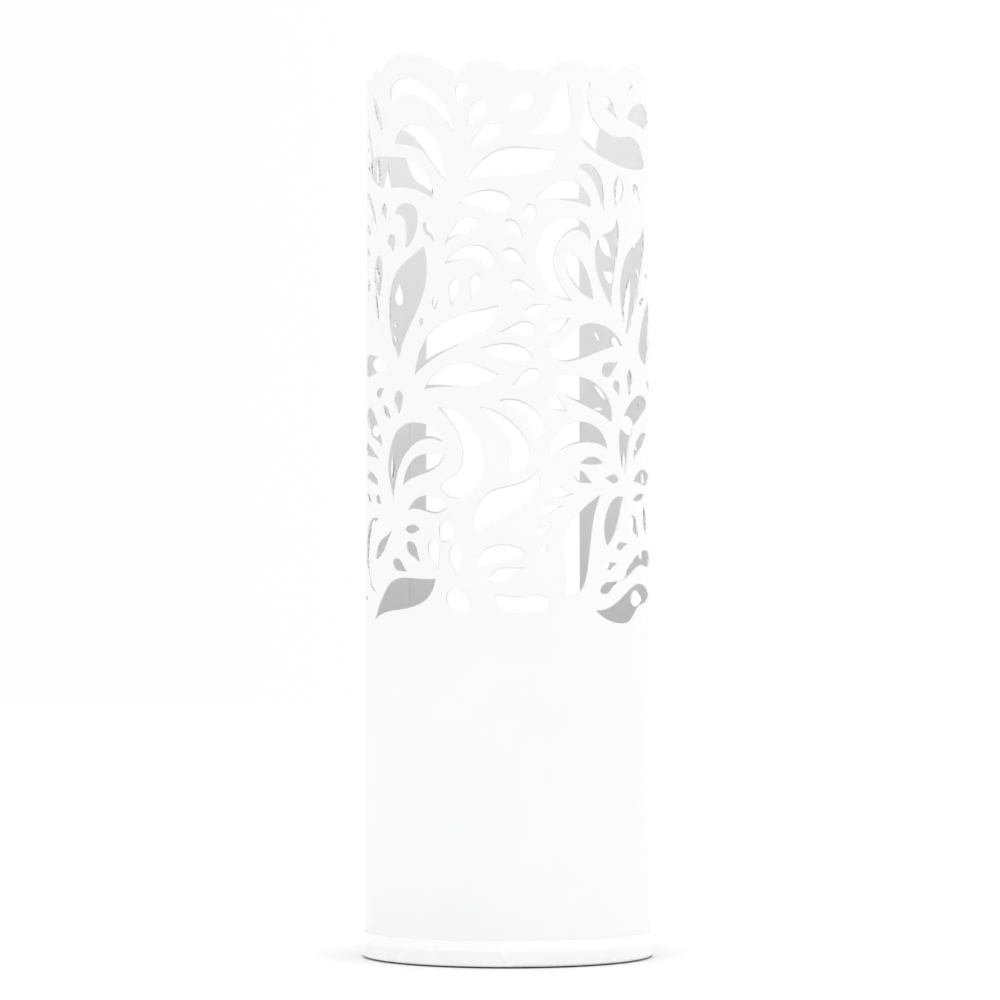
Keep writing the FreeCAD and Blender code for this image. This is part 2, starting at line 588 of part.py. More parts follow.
# heights and radii that several pieces share
WEB_TOP = "web_underside + web_thickness"
PLATE_TOP = "web_underside + web_thickness + plate_thickness"
WALL_OUTSIDE = "tube_diameter / 2"
WALL_INSIDE = "tube_diameter / 2 - sheet_thickness"
SKIRT_OUTSIDE = WALL_OUTSIDE + " + skirt_overhang"
SKIRT_LAND = WALL_OUTSIDE + " + skirt_overhang - skirt_land"


# ---------------------------------------------------------------- wall
def sheet_to_prism(outline, centre, radius, reach_in, reach_out):
    """A solid that cuts one outline straight through the wall, towards the axis at its centre."""
    angle = math.radians(FRONT_ANGLE) + centre / radius
    outward = FreeCAD.Vector(math.cos(angle), math.sin(angle), 0)
    sideways = FreeCAD.Vector(-math.sin(angle), math.cos(angle), 0)
    edges = []
    for curve in outline:
        points = []
        for along, height in curve:
            aside = radius * math.sin((along - centre) / radius)
            points.append(outward * reach_in + sideways * aside + FreeCAD.Vector(0, 0, height))
        if len(points) == 2:
            edges.append(Part.makeLine(points[0], points[1]))
            continue
        spline = Part.BSplineCurve()
        spline.interpolate(points)
        first, last = spline.FirstParameter, spline.LastParameter
        ends = [first, last]
        if len(outline) == 1:
            ends = [first, (first + last) / 2, last]
        edges += [spline.toShape(start, end) for start, end in zip(ends, ends[1:])]
    face = Part.Face(Part.Wire(edges))
    return face.extrude(outward * (reach_out - reach_in))


def stretched(outline, round_scale, height_scale):
    """An outline drawn for the pattern's own tube, fitted to this one."""
    return [[(along * round_scale, height * height_scale) for along, height in curve] for curve in outline]


def middle(outline):
    alongs = [point[0] for point in all_points(outline)]
    return (min(alongs) + max(alongs)) / 2


def scallop_outline(left, crown, right, top):
    """What is cut away above one scallop of the rim, a little past both of its ends."""
    fullness = 0.64
    past = 1.2
    steep = 9.0
    rise_left = (left[0] + 0.36 * (crown[0] - left[0]), left[1] + fullness * (crown[1] - left[1]))
    rise_right = (right[0] + 0.36 * (crown[0] - right[0]), right[1] + fullness * (crown[1] - right[1]))
    shoulder_right = (right[0] + past, right[1] + steep)
    shoulder_left = (left[0] - past, left[1] + steep)
    return [[left, rise_left, crown, rise_right, right],
            [right, shoulder_right],
            [shoulder_right, (shoulder_right[0], top)],
            [(shoulder_right[0], top), (shoulder_left[0], top)],
            [(shoulder_left[0], top), shoulder_left],
            [shoulder_left, left]]


def round_scale():
    return size("tube_diameter / pattern_diameter")


def height_scale():
    return size("overall_height / pattern_height")


def prisms_of(outlines):
    """One prism for each outline, from inside the wall to outside it."""
    radius = size(WALL_OUTSIDE)
    inner = radius - size("sheet_thickness") - CUT_REACH
    prisms = []
    for outline in outlines:
        fitted = stretched(outline, round_scale(), height_scale())
        prisms.append(sheet_to_prism(fitted, middle(fitted), radius, inner, radius + CUT_REACH))
    return prisms


def back_prisms():
    """The repeated cutouts of the back, ended at the two upright lines of their zone."""
    left = BACK_LEFT * round_scale()
    right = BACK_RIGHT * round_scale()
    corner = FreeCAD.Vector(left, 0, 0)
    zone = Part.makeBox(right - left, size("tube_diameter"), 2 * size("overall_height"), corner)
    prisms = []
    for prism in prisms_of(back_outlines(size("pattern_diameter") / 2)):
        box = prism.BoundBox
        if box.XMin < left or box.XMax > right:
            prism = prism.common(zone)
        prisms += prism.Solids
    return prisms


def rim_prisms():
    """What is cut away above each scallop of the rim."""
    turn = math.pi * size("pattern_diameter")
    top = size("pattern_height") + RIM_REACH
    outlines = []
    for (left, crown), (right, _) in zip(SCALLOPS, SCALLOPS[1:] + SCALLOPS[:1]):
        if right[0] < left[0]:
            right = (right[0] + turn, right[1])
        outlines.append(scallop_outline(left, crown, right, top))
    return prisms_of(outlines)


def make_wall_sheet():
    """The rolled and perforated sheet: a tube less one group of cutting prisms after another."""
    outside = doc.addObject("Part::Cylinder", "wall_outside")
    bind(outside, Radius=WALL_OUTSIDE, Height="overall_height + sheet_thickness - (" + WEB_TOP + ")")
    outside.setExpression("Placement.Base.z", bound(WEB_TOP))
    inside = doc.addObject("Part::Cylinder", "wall_inside")
    bind(inside, Radius=WALL_INSIDE, Height="overall_height + sheet_thickness")
    sheet = doc.addObject("Part::Cut", "rolled_tube")
    sheet.Base = outside
    sheet.Tool = inside
    groups = {
        "rim": rim_prisms(),
        "front_top": prisms_of(FRONT_TOP),
        "front_left_top": prisms_of(FRONT_LEFT_TOP),
        "front_middle": prisms_of(FRONT_MIDDLE),
        "front_left_middle": prisms_of(FRONT_LEFT_MIDDLE),
        "front_bottom": prisms_of(FRONT_BOTTOM),
        "right_flank": prisms_of(RIGHT_FLANK),
        "left_flank": prisms_of(LEFT_FLANK),
        "back": back_prisms(),
        "back_wide": prisms_of(back_wide_outlines(size("pattern_diameter") / 2)),
    }
    for name, prisms in groups.items():
        cutters = doc.addObject("Part::Feature", name + "_prisms")
        cutters.Shape = Part.makeCompound(prisms)
        cutters.Placement = FreeCAD.Placement()
        perforated = doc.addObject("Part::Cut", name + "_cut")
        perforated.Base = sheet
        perforated.Tool = cutters
        perforated.Refine = False
        sheet = perforated
    sheet.Label = "wall_sheet"
    subparts.append(sheet)
    doc.recompute()


def make_seam_weld():
    """The bead left standing inside along the butt joint, up to the cutouts that cross the joint."""
    body = new_body("seam_weld")
    sketch = new_sketch(body, "bead_outline", "XY_Plane")
    half = "weld_width / 2"
    flat = "sqrt((" + WALL_INSIDE + ") * (" + WALL_INSIDE + ") - weld_width * weld_width / 4)"
    polygon(sketch, [(flat, "0 - " + half), (flat, half), (flat + " - weld_rise * 0.75", "weld_width / 4"),
                     (flat + " - weld_rise", "0 * weld_width"),
                     (flat + " - weld_rise * 0.75", "0 - weld_width / 4")])
    start = "flange_height + weld_start + " + WEB_TOP
    pad(body, "bead", sketch, "weld_top * overall_height / pattern_height - (" + start + ")")
    place(body, size("seam_angle") + FRONT_ANGLE, "0 * weld_width", start)


# ---------------------------------------------------------------- base
def make_base_skirt():
    """The moulded ring and floor that the wall stands in."""
    body = new_body("base_skirt")
    outer = SKIRT_OUTSIDE
    lip = WALL_OUTSIDE + " + skirt_lip_overhang"
    land = SKIRT_LAND
    groove = WALL_OUTSIDE + " + wall_clearance"
    revolve(body, "shell", [
        ("0", "web_underside"), (land, "web_underside"), (land, "skirt_gap"), (outer, "skirt_gap"),
        (outer, "skirt_straight"), (lip, "skirt_height"), (groove, "skirt_height"), (groove, WEB_TOP),
        ("0", WEB_TOP)])
    round_rings(body, "lower_edge", "skirt_lower_round", [(outer, "skirt_gap")])
    round_rings(body, "shoulder", "skirt_shoulder_round", [(outer, "skirt_straight")])
    round_rings(body, "lip_edge", "skirt_lip_round", [(lip, "skirt_height"), (groove, "skirt_height")])
    rib = new_sketch(body, "rib_outline", "XY_Plane", "web_underside - rib_depth")
    end = land + " + rib_root"
    polygon(rib, [("rib_start", "0 - rib_width / 2"), (end, "0 - rib_width / 2"),
                  (end, "rib_width / 2"), ("rib_start", "rib_width / 2")])
    first_rib = pad(body, "rib", rib, "rib_depth + %r" % ROOT)
    around(body, "ribs", first_rib, rib, BASE_RIBS)
    hole = new_sketch(body, "screw_hole_outline", "XY_Plane", WEB_TOP)
    half_step = math.radians(180.0 / BASE_RIBS)
    circle(hole, "screw_circle / 2 * %r" % math.cos(half_step), "screw_circle / 2 * %r" % math.sin(half_step),
           "screw_diameter + 2 * screw_clearance")
    first_hole = pocket(body, "screw_hole", hole, "web_thickness + %r" % THROUGH)
    around(body, "screw_holes", first_hole, hole, SCREWS)


def make_floor_plate():
    """The pressed steel pan whose flange the wall is spot-welded to."""
    body = new_body("floor_plate")
    outer = WALL_INSIDE + " - flange_clearance"
    inner = WALL_INSIDE + " - flange_clearance - plate_thickness"
    lip = WEB_TOP + " + flange_height"
    revolve(body, "pan", [("0", WEB_TOP), (outer, WEB_TOP), (outer, lip), (inner, lip),
                          (inner, PLATE_TOP), ("0", PLATE_TOP)])
    round_rings(body, "outer_bend", "plate_bend", [(outer, WEB_TOP)])
    round_rings(body, "inner_bend", "plate_bend - plate_thickness", [(inner, PLATE_TOP)])
    round_rings(body, "flange_edge", "flange_edge_round", [(outer, lip), (inner, lip)])
    hole = new_sketch(body, "screw_hole_outline", "XY_Plane", PLATE_TOP)
    half_step = math.radians(180.0 / BASE_RIBS)
    circle(hole, "screw_circle / 2 * %r" % math.cos(half_step), "screw_circle / 2 * %r" % math.sin(half_step),
           "screw_diameter + 2 * screw_clearance")
    first_hole = pocket(body, "screw_hole", hole, "plate_thickness + %r" % THROUGH)
    around(body, "screw_holes", first_hole, hole, SCREWS)


def fastener_angle(index):
    return 180.0 / BASE_RIBS + index * 360.0 / SCREWS


def make_base_screw(index):
    """A cross-head screw up through the base and the plate into its nut."""
    body = new_body("base_screw_%d" % (index + 1))
    shank = "screw_diameter / 2"
    head = "screw_head_diameter / 2"
    top = "screw_length"
    revolve(body, "screw", [("0", "0 - screw_head_height"), (head, "0 - screw_head_height"), (head, "0"),
                            (shank, "0"), (shank, top), ("0", top)])
    round_rings(body, "head_edge", "screw_head_round", [(head, "0 - screw_head_height")])
    round_rings(body, "point", "screw_point_round", [(shank, top)])
    cross = new_sketch(body, "cross_outline", "XY_Plane", "0 - screw_head_height")
    arm = "recess_length / 2"
    side = "recess_width / 2"
    polygon(cross, [(arm, "0 - " + side), (arm, side), (side, side), (side, arm), ("0 - " + side, arm),
                    ("0 - " + side, side), ("0 - " + arm, side), ("0 - " + arm, "0 - " + side),
                    ("0 - " + side, "0 - " + side), ("0 - " + side, "0 - " + arm), (side, "0 - " + arm),
                    (side, "0 - " + side)])
    pocket(body, "cross", cross, "recess_depth", reversed_way=True)
    place(body, fastener_angle(index), "screw_circle / 2", "web_underside")


def make_weld_nut(index):
    """A hexagon nut welded to the plate's top."""
    body = new_body("weld_nut_%d" % (index + 1))
    sketch = new_sketch(body, "hexagon", "XY_Plane")
    corners = []
    for corner in range(6):
        turn = math.radians(30 + 60 * corner)
        spread = "nut_width / 2 / %r" % math.cos(math.radians(30))
        corners.append(("%s * (%r)" % (spread, round(math.cos(turn), 12)),
                        "%s * (%r)" % (spread, round(math.sin(turn), 12))))
    polygon(sketch, corners)
    pad(body, "nut", sketch, "nut_height")
    bore = new_sketch(body, "bore_outline", "XY_Plane", "nut_height")
    circle(bore, "0", "0", "screw_diameter + 2 * nut_clearance")
    pocket(body, "bore", bore, "nut_height + %r" % THROUGH)
    place(body, fastener_angle(index), "screw_circle / 2", PLATE_TOP)


def make_foot_pad(index):
    """A rubber pad stuck under the base, halfway between two screws and clear of the ribs."""
    body = new_body("foot_pad_%d" % (index + 1))
    rim = "pad_diameter / 2"
    revolve(body, "pad", [("0", "0"), (rim + " - pad_chamfer_width", "0"), (rim, "pad_chamfer_height"),
                          (rim, "web_underside"), ("0", "web_underside")])
    angle = fastener_angle(0) + 180.0 / SCREWS + index * 360.0 / PADS
    place(body, angle, SKIRT_LAND + " - pad_inset - pad_diameter / 2", "0 * pad_diameter")


# ---------------------------------------------------------------- drip tray
def make_drip_tray():
    """The lift-out tray: a foot ring, a ribbed floor, a flared wall, a rolled rim, two finger tabs."""
    body = new_body("drip_tray")
    rim = WALL_INSIDE + " - tray_clearance"
    floor = rim + " - tray_flare"
    foot = floor + " - tray_foot_inset"
    base = PLATE_TOP
    under = base + " + tray_floor_rise"
    top = base + " + tray_height"
    rib_top = under + " + tray_wall + tray_rib_height"
    flare = rim + " - tray_roll_width"
    revolve(body, "pan", [
        ("0", under), (foot + " - tray_wall", under), (foot + " - tray_wall", base), (foot, base),
        (foot, under), (floor, under), (flare, top + " - tray_roll"), (rim, top + " - tray_roll"),
        (rim, top), (flare + " - tray_wall", top), (floor + " - tray_wall", under + " + tray_wall"),
        ("0", under + " + tray_wall")])
    round_rings(body, "outer_corner", "tray_corner_round", [(floor, under)])
    round_rings(body, "inner_corner", "tray_inner_round", [(floor + " - tray_wall", under + " + tray_wall")])
    round_rings(body, "rim_edges", "tray_rim_round", [(rim, top), (flare + " - tray_wall", top)])
    round_rings(body, "rim_lower_edge", "tray_roll_round", [(rim, top + " - tray_roll")])
    for name, radius in (("hub_ring", "tray_hub_radius"), ("middle_ring", "tray_ring_radius")):
        ring = new_sketch(body, name + "_outline", "XY_Plane", under + " + tray_wall - %r" % ROOT)
        circle(ring, "0", "0", "2 * " + radius)
        circle(ring, "0", "0", "2 * (" + radius + " - tray_rib_width)")
        pad(body, name, ring, "tray_rib_height + %r" % ROOT)
    rib = new_sketch(body, "rib_outline", "XY_Plane", under + " + tray_wall - %r" % ROOT)
    start = "tray_hub_radius - tray_rib_width / 2"
    end = floor + " - tray_wall - tray_rib_inset"
    polygon(rib, [(start, "0 - tray_rib_width / 2"), (end, "0 - tray_rib_width / 2"),
                  (end, "tray_rib_width / 2"), (start, "tray_rib_width / 2")])
    first_rib = pad(body, "rib", rib, "tray_rib_height + %r" % ROOT)
    around(body, "ribs", first_rib, rib, TRAY_RIBS)
    tab = new_sketch(body, "tab_outline", "XY_Plane", top + " - tab_drop - tab_thickness")
    root = flare + " - tab_root"
    finger_tab(tab, root)
    first_tab = pad(body, "finger_tab", tab, "tab_thickness")
    around(body, "finger_tabs", first_tab, tab, 2)


def finger_tab(sketch, root):
    """A half disc that reaches inward from the tray's wall."""
    across = size(root)
    reach = size("tab_radius")
    top = FreeCAD.Vector(across, reach, 0)
    bottom = FreeCAD.Vector(across, -reach, 0)
    arc = sketch.addGeometry(Part.Arc(top, FreeCAD.Vector(across - reach, 0, 0), bottom))
    line = sketch.addGeometry(Part.LineSegment(bottom, top))
    sketch.addConstraint(Sketcher.Constraint("Coincident", line, 2, arc, 1))
    sketch.addConstraint(Sketcher.Constraint("Coincident", line, 1, arc, 2))
    radius = sketch.addConstraint(Sketcher.Constraint("Radius", arc, reach))
    sketch.setExpression("Constraints[%d]" % radius, bound("tab_radius"))
    pin(sketch, "DistanceX", arc, 3, root)
    pin(sketch, "DistanceY", arc, 3, "0")
    sketch.addConstraint(Sketcher.Constraint("Vertical", line))
    sketch.addConstraint(Sketcher.Constraint("PointOnObject", arc, 3, line))


# ---------------------------------------------------------------- build, check, write
make_wall_sheet()
make_seam_weld()
make_base_skirt()
make_floor_plate()
for screw_index in range(SCREWS):
    make_base_screw(screw_index)
    make_weld_nut(screw_index)
for pad_index in range(PADS):
    make_foot_pad(pad_index)
make_drip_tray()
doc.recompute()

for item in doc.Objects:
    if "Invalid" in item.State or "Error" in item.State:
        raise RuntimeError("%s failed: %s" % (item.Label, item.State))
for subpart in subparts:
    if subpart.Shape.isNull() or not subpart.Shape.isValid():
        raise RuntimeError("%s has no valid shape" % subpart.Label)

os.makedirs("parts", exist_ok=True)
for subpart in subparts:
    subpart.Shape.exportStep("parts/%s.step" % subpart.Label)
    print(subpart.Label, len(subpart.Shape.Solids), "solid,", round(subpart.Shape.Volume / 1000, 3), "cm3")
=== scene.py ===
"""Umbrella stand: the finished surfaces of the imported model, its floor, lights and camera. Metres throughout.

A white powder-coated sheet-steel wall with leaf cutouts stands in a moulded base ring. Its cut edges
are eased, as the coat leaves them, and the seam inside is a rippled weld bead.
"""
import json
import math

import bmesh
import bpy
import numpy as np
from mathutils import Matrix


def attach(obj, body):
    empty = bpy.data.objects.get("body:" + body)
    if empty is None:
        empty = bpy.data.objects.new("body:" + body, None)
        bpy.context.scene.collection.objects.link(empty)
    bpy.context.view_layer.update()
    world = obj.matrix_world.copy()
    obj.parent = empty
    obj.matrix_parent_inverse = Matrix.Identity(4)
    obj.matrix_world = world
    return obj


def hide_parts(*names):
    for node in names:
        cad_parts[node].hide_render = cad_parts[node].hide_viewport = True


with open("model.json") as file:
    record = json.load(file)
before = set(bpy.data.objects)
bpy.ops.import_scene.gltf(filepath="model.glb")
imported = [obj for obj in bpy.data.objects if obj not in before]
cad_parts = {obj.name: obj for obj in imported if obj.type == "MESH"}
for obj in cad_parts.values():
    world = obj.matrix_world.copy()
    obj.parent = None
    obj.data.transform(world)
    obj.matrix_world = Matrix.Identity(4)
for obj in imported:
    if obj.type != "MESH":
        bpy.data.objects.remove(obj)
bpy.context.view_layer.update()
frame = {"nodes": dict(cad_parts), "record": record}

MM = 0.001

# ---------------------------------------------------------------- sizes of the new pieces
EASE = 0.22 * MM          # how far into the sheet's thickness each cut edge is eased
COAT_BUILD = 0.10 * MM    # how far the coat stands proud of the cut faces
MERGE_DISTANCE = 0.002 * MM
SHORTEST_EDGE = 0.001 * MM
CORNER_COSINE = math.cos(math.radians(40))   # cut faces nearer than this run smoothly into each other
MITRE_LIMIT = 2.2         # how far the eased edge may reach round a sharp corner, in widths
SEAM_ANGLE = math.radians(-134.5 - 90.0)     # where the weld bead runs, from +X round the axis
WALL_INSIDE = 76.5 * MM
BEAD_WIDTH = 3.0 * MM
BEAD_RISE = 0.66 * MM     # height of the bead over the wall
BEAD_BITE = 0.12 * MM     # how far its flat back sits in the wall
BEAD_RIPPLE = 1.3 * MM    # distance from one weld ripple to the next
BEAD_RIPPLE_SHARE = 0.16  # height of a ripple, as a share of the rise
BEAD_SAG = 0.9 * MM       # how far a ripple's middle lags behind its sides
BEAD_RINGS_PER_RIPPLE = 5
BEAD_POINTS = 13
BEAD_TAPER = 3.0 * MM     # length over which each end of the bead closes
BEAD_BACK_POINTS = 3      # on the bead's flat back
BEAD_BACK_REACH = 0.6     # how far those points spread, as a share of half the width
BEAD_SIDE_BITE = 0.4      # how far its sides sit in the wall, as a share of the back's


# ---------------------------------------------------------------- mesh helpers
def unit(vectors):
    """Each row divided by its length."""
    return vectors / np.maximum(np.linalg.norm(vectors, axis=-1, keepdims=True), 1e-12)


def merged_triangles(node):
    """The points and triangles of a CAD node's mesh, with its doubled points merged."""
    work = bmesh.new()
    work.from_mesh(node.data)
    bmesh.ops.remove_doubles(work, verts=work.verts, dist=MERGE_DISTANCE)
    bmesh.ops.dissolve_degenerate(work, edges=work.edges, dist=SHORTEST_EDGE)
    bmesh.ops.triangulate(work, faces=work.faces)
    mesh = bpy.data.meshes.new("merged")
    work.to_mesh(mesh)
    work.free()
    points = np.empty(len(mesh.vertices) * 3)
    corners = np.empty(len(mesh.polygons) * 3, np.int64)
    mesh.vertices.foreach_get("co", points)
    mesh.polygons.foreach_get("vertices", corners)
    bpy.data.meshes.remove(mesh)
    return points.reshape(-1, 3), corners.reshape(-1, 3)


def new_object(name, points, faces, material, corner_normals=None):
    """A smooth mesh object at the origin from arrays of points and faces, with corner normals if given."""
    mesh = bpy.data.meshes.new(name)
    mesh.from_pydata(points.tolist(), [], faces)
    mesh.polygons.foreach_set("use_smooth", np.ones(len(mesh.polygons), bool))
    mesh.materials.append(material)
    if corner_normals is not None:
        mesh.normals_split_custom_set(corner_normals.tolist())
    mesh.update()
    made = bpy.data.objects.new(name, mesh)
    bpy.context.scene.collection.objects.link(made)
    return made


def smooth_cut_normals(triangles, normals, is_cut, n_points):
    """The normal at each corner of each cut face: the mean of the cut faces round that point, taking only
    those that turn less than the corner angle from the face itself. A table point x place holds the
    normals of the cut faces round each point, so the means are sums over that table."""
    cut = np.flatnonzero(is_cut)
    points = triangles[cut].ravel()
    owner = np.repeat(cut, 3)
    order = np.argsort(points, kind="stable")
    sorted_points = points[order]
    starts = np.searchsorted(sorted_points, np.arange(n_points))
    place = np.arange(len(order)) - starts[sorted_points]
    table = np.zeros((n_points, place.max() + 1, 3))
    table[sorted_points, place] = normals[owner[order]]
    own = normals[owner]
    near = np.einsum("ijk,ik->ij", table[points], own) > CORNER_COSINE
    mean = unit(np.einsum("ij,ijk->ik", near.astype(float), table[points]))
    result = np.zeros((len(triangles), 3, 3))
    result[cut] = mean.reshape(-1, 3, 3)
    return result


def eased_sheet(name, node, material):
    """The perforated wall with each cut edge eased. Every point that the sheet's surface shares with a cut
    face becomes two. One stays on the surface. The other is the cut face's: it moves out of the cut by the
    coat's build, further at a sharp corner, and into the sheet's thickness by the ease, and never above
    the rim. A strip joins the two rows. Normals: radial on the surfaces, the cut faces' own on the cuts,
    and the strip turns from one to the other."""
    points, triangles = merged_triangles(node)
    a, b, c = (points[triangles[:, k]] for k in range(3))
    normals = unit(np.cross(b - a, c - a))
    n = len(points)
    outward = unit(points * np.array([1.0, 1.0, 0.0]))

    # which surface, outer or inner, each point is on; a triangle with points on both is a cut face
    radius = np.linalg.norm(points[:, :2], axis=1, keepdims=True)
    point_side = np.where(radius[:, 0] > 0.5 * (radius.min() + radius.max()), 1.0, -1.0)
    sides = point_side[triangles].sum(1)
    side = np.where(sides == 3, 1, np.where(sides == -3, -1, 0))
    is_cut = side == 0
    cut_corner = smooth_cut_normals(triangles, normals, is_cut, n)
    total = np.zeros((n, 3))
    count = np.zeros(n)
    np.add.at(total, triangles[is_cut].ravel(), np.repeat(unit(normals[is_cut]), 3, axis=0))
    np.add.at(count, triangles[is_cut].ravel(), 1)
    on_edge = np.zeros(n, bool)
    on_edge[triangles[~is_cut].ravel()] = True
    on_edge &= count > 0
    away = total - outward * np.einsum("ij,ij->i", total, outward)[:, None]
    length = np.linalg.norm(away, axis=1) / np.maximum(count, 1)
    reach = np.minimum(1 / np.maximum(length, 1e-3), MITRE_LIMIT)
    built_up = unit(away) * (COAT_BUILD * reach * on_edge)[:, None]
    sunk = points + built_up - outward * (point_side * EASE * on_edge)[:, None]
    sunk[:, 2] = np.minimum(sunk[:, 2], points[:, 2].max())
    new_points = np.vstack([points, sunk])

    # the edges that a surface face and a cut face share
    ends = np.stack([triangles, np.roll(triangles, -1, axis=1)], axis=2).reshape(-1, 2)
    key = ends.min(1) * n + ends.max(1)
    order = np.argsort(key, kind="stable")
    same = np.flatnonzero(key[order][1:] == key[order][:-1])
    first, second = order[same], order[same + 1]
    mixed = is_cut[first // 3] != is_cut[second // 3]
    first, second = first[mixed], second[mixed]
    cut_edge = np.where(is_cut[first // 3], first, second)
    start, end = ends[cut_edge, 0], ends[cut_edge, 1]
    strips = np.stack([end + n, start + n, start, end], axis=1)
    start_normal = cut_corner[cut_edge // 3, cut_edge % 3]
    end_normal = cut_corner[cut_edge // 3, (cut_edge + 1) % 3]
    surface_normal = outward * point_side[:, None]
    strip_normals = np.stack([end_normal, start_normal, surface_normal[start], surface_normal[end]], axis=1)

    moved = triangles + np.where(is_cut[:, None] & on_edge[triangles], n, 0)
    face_normals = np.where(is_cut[:, None, None], cut_corner, outward[triangles] * side[:, None, None])
    used, places = np.unique(np.concatenate([moved.ravel(), strips.ravel()]), return_inverse=True)
    corners = places.ravel()
    faces = corners[:moved.size].reshape(-1, 3).tolist() + corners[moved.size:].reshape(-1, 4).tolist()
    corner_normals = np.vstack([face_normals.reshape(-1, 3), strip_normals.reshape(-1, 3)])
    return new_object(name, new_points[used], faces, material, corner_normals)


def weld_bead(name, foot, top, material):
    """A rippled weld bead up the inside of the wall. Two parameters: the height, and the place round the
    section. The section is half an ellipse on a flat back; its rise grows a little with each ripple and
    drops back, the ripples bow down in their middle, and it shrinks to a point at either end."""
    rings = int(round((top - foot) / BEAD_RIPPLE * BEAD_RINGS_PER_RIPPLE))
    height = np.linspace(foot, top, rings + 1)[1:-1]
    turn = np.linspace(0, math.pi, BEAD_POINTS)
    back_row = np.linspace(-BEAD_BACK_REACH, BEAD_BACK_REACH, BEAD_BACK_POINTS)
    across = np.concatenate([np.cos(turn), back_row])
    rise = np.concatenate([np.sin(turn), np.zeros(BEAD_BACK_POINTS)])
    back = np.concatenate([np.zeros(BEAD_POINTS), np.ones(BEAD_BACK_POINTS)])
    phase = (height[:, None] + BEAD_SAG * (1 - across ** 2)) / BEAD_RIPPLE
    ripple = 1 - BEAD_RIPPLE_SHARE * (0.5 + 0.5 * np.cos(2 * math.pi * phase))
    from_end = np.minimum(height - foot, top - height)[:, None]
    closing = np.clip(from_end / BEAD_TAPER, 0, 1)
    taper = np.sqrt(closing * (2 - closing))
    aside = 0.5 * BEAD_WIDTH * across * taper
    flat = np.sqrt(WALL_INSIDE ** 2 - aside ** 2)
    bite = BEAD_BITE * (BEAD_SIDE_BITE + (1 - BEAD_SIDE_BITE) * back)
    inward = BEAD_RISE * rise * ripple * taper - bite * taper
    radial = np.array([math.cos(SEAM_ANGLE), math.sin(SEAM_ANGLE), 0.0])
    sideways = np.array([-math.sin(SEAM_ANGLE), math.cos(SEAM_ANGLE), 0.0])
    body = ((flat - inward)[:, :, None] * radial + aside[:, :, None] * sideways
            + (height[:, None] + 0 * across)[:, :, None] * np.array([0.0, 0.0, 1.0]))
    ends = np.array([WALL_INSIDE * radial + [0, 0, foot], WALL_INSIDE * radial + [0, 0, top]])
    around = len(across)
    ring = np.arange(around)
    after = np.roll(ring, -1)
    start = (np.arange(len(height) - 1) * around)[:, None]
    quads = np.stack([start + ring, start + around + ring, start + around + after, start + after], axis=-1)
    last = len(height) * around
    low_fan = np.stack([ring, after, np.full(around, last)], axis=-1)
    high_fan = np.stack([last - around + after, last - around + ring, np.full(around, last + 1)], axis=-1)
    faces = quads.reshape(-1, 4).tolist() + low_fan.tolist() + high_fan.tolist()
    return new_object(name, np.vstack([body.reshape(-1, 3), ends]), faces, material)


# ---------------------------------------------------------------- materials
BROAD_GRAIN = 0.28        # grains per metre of the broad noise, as a share of the fine noise's
DUST_COLOUR = (0.62, 0.61, 0.59, 1)
COAT_ROUGHNESS = 0.25
SPANGLE_DARK = 0.82       # the darkest spangle, as a share of the tint
DRAWN_LINES = (90.0, 2600.0, 90.0)           # noise per metre along X, Y and Z
TURNED_LINES = (900.0, 900.0, 5200.0)
LINE_DEPTH = 0.004 * MM


def node(tree, kind, **settings):
    """A new node with its settings, and its inputs where the name is an input's."""
    made = tree.nodes.new(kind)
    for key, value in settings.items():
        if hasattr(made, key):
            setattr(made, key, value)
        else:
            made.inputs[key.replace("_", " ")].default_value = value
    return made


def ramp(tree, low, high, low_value, high_value):
    """A Map Range node from low..high to low_value..high_value."""
    made = tree.nodes.new("ShaderNodeMapRange")
    made.inputs["From Min"].default_value = low
    made.inputs["From Max"].default_value = high
    made.inputs["To Min"].default_value = low_value
    made.inputs["To Max"].default_value = high_value
    return made


def new_group(name, inputs, outputs):
    """An empty shader group with named float inputs (name, value) and float outputs."""
    tree = bpy.data.node_groups.new(name, "ShaderNodeTree")
    tree.interface.new_socket(name="Place", in_out="INPUT", socket_type="NodeSocketVector")
    for label, value in inputs:
        socket = tree.interface.new_socket(name=label, in_out="INPUT", socket_type="NodeSocketFloat")
        socket.default_value = value
    for label in outputs:
        tree.interface.new_socket(name=label, in_out="OUTPUT", socket_type="NodeSocketFloat")
    return tree, tree.nodes.new("NodeGroupInput"), tree.nodes.new("NodeGroupOutput")


